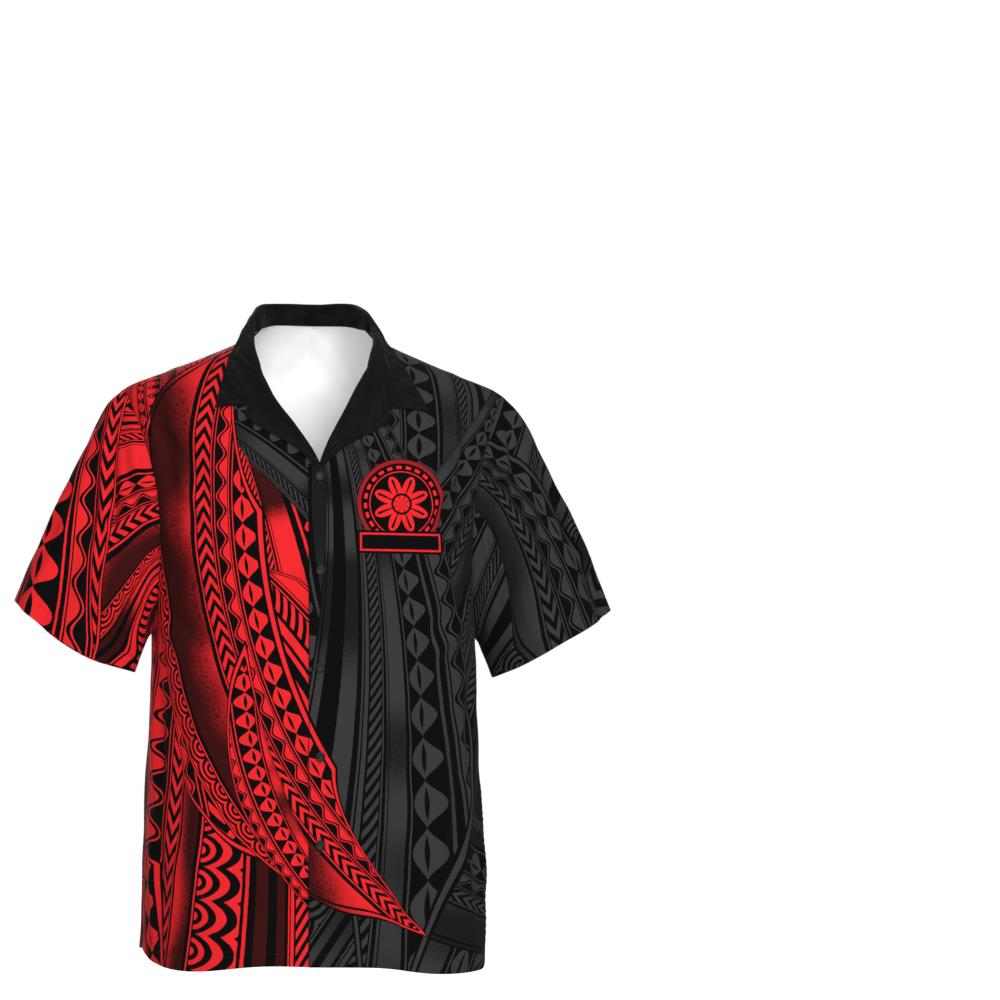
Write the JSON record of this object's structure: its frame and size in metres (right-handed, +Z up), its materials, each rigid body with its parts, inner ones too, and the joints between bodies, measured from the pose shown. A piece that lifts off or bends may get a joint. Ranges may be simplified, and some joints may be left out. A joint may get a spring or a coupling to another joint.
{
  "type": "bowling shirt",
  "caption": "Short-sleeved camp-collar shirt with a buttoned front, boxy body and printed cloth, filled out as it is worn, with nobody in it.",
  "frame": {"origin": "midway between the two neck points, where the neck leaves the shoulders; the wearer's shoulders hold the shirt up there", "axes": "+X to the wearer's left, +Y to the wearer's back, +Z up"},
  "size_m": [0.686, 0.2572, 0.7693],
  "materials": {
    "printed_red": "printed cotton poplin",
    "printed_charcoal": "printed cotton poplin",
    "plain_black": "plain cotton poplin",
    "black_resin": "satin resin"
  },
  "bodies": {
    "root": {"back": "printed_red", "front_right": "printed_red", "front_left": "printed_charcoal", "sleeve_right": "printed_red", "sleeve_left": "printed_charcoal", "collar": "plain_black", "lapel_left": "plain_black", "lapel_right": "plain_black", "button_1": "black_resin", "button_2": "black_resin", "button_3": "black_resin", "button_4": "black_resin", "button_5": "black_resin"}
  },
  "joints": []
}
